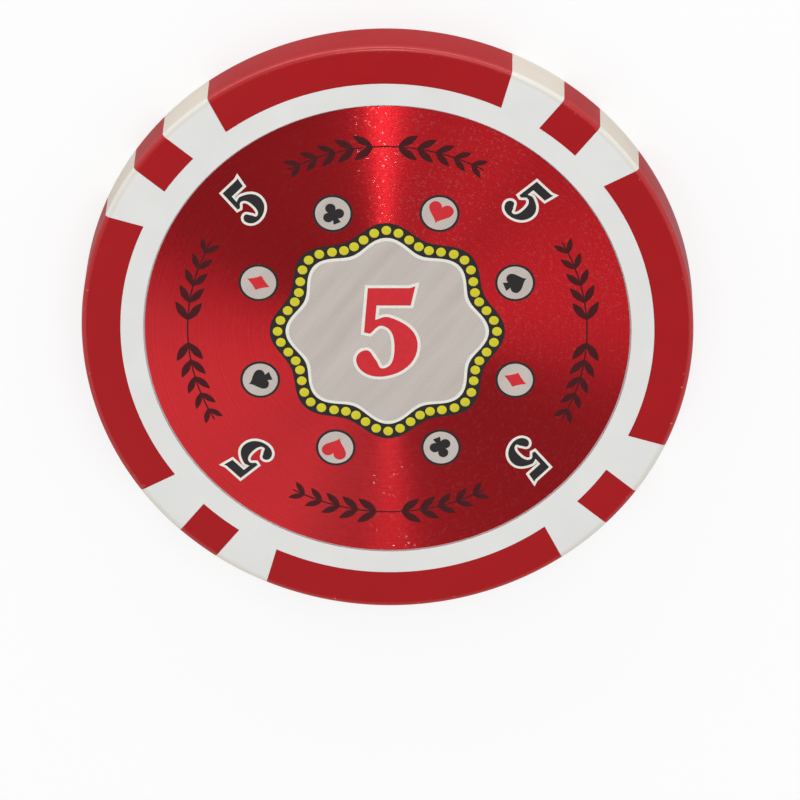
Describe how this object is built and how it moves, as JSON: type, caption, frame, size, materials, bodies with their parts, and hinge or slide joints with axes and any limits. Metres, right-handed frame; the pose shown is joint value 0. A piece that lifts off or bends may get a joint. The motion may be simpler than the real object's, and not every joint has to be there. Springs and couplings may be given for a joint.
{
  "type": "poker chip",
  "caption": "Round two-shot moulded gaming chip: a plastic disc with edge blocks and wedges over a hidden steel weight, with a foil label let into each face.",
  "frame": {"origin": "centre of the lower face, on the chip's axis, in the plane that the chip rests on", "axes": "+Z is the chip's axis, out of the upper face; +X and +Y each run through the middle of a long block"},
  "size_m": [0.04, 0.04, 0.0035],
  "materials": {
    "weight_steel": "stamped and tumbled, dull",
    "red_plastic": "semi-gloss moulded ABS",
    "white_plastic": "semi-gloss moulded ABS",
    "label_adhesive": "clear pressure-sensitive film",
    "label_foil": "glossy clear film over red metallic foil with fine turned grooves"
  },
  "bodies": {
    "root": {"steel_slug": "weight_steel", "red_core": "red_plastic", "white_ring": "white_plastic", "adhesive_top": "label_adhesive", "label_top": "label_foil", "adhesive_bottom": "label_adhesive", "label_bottom": "label_foil"}
  },
  "joints": []
}
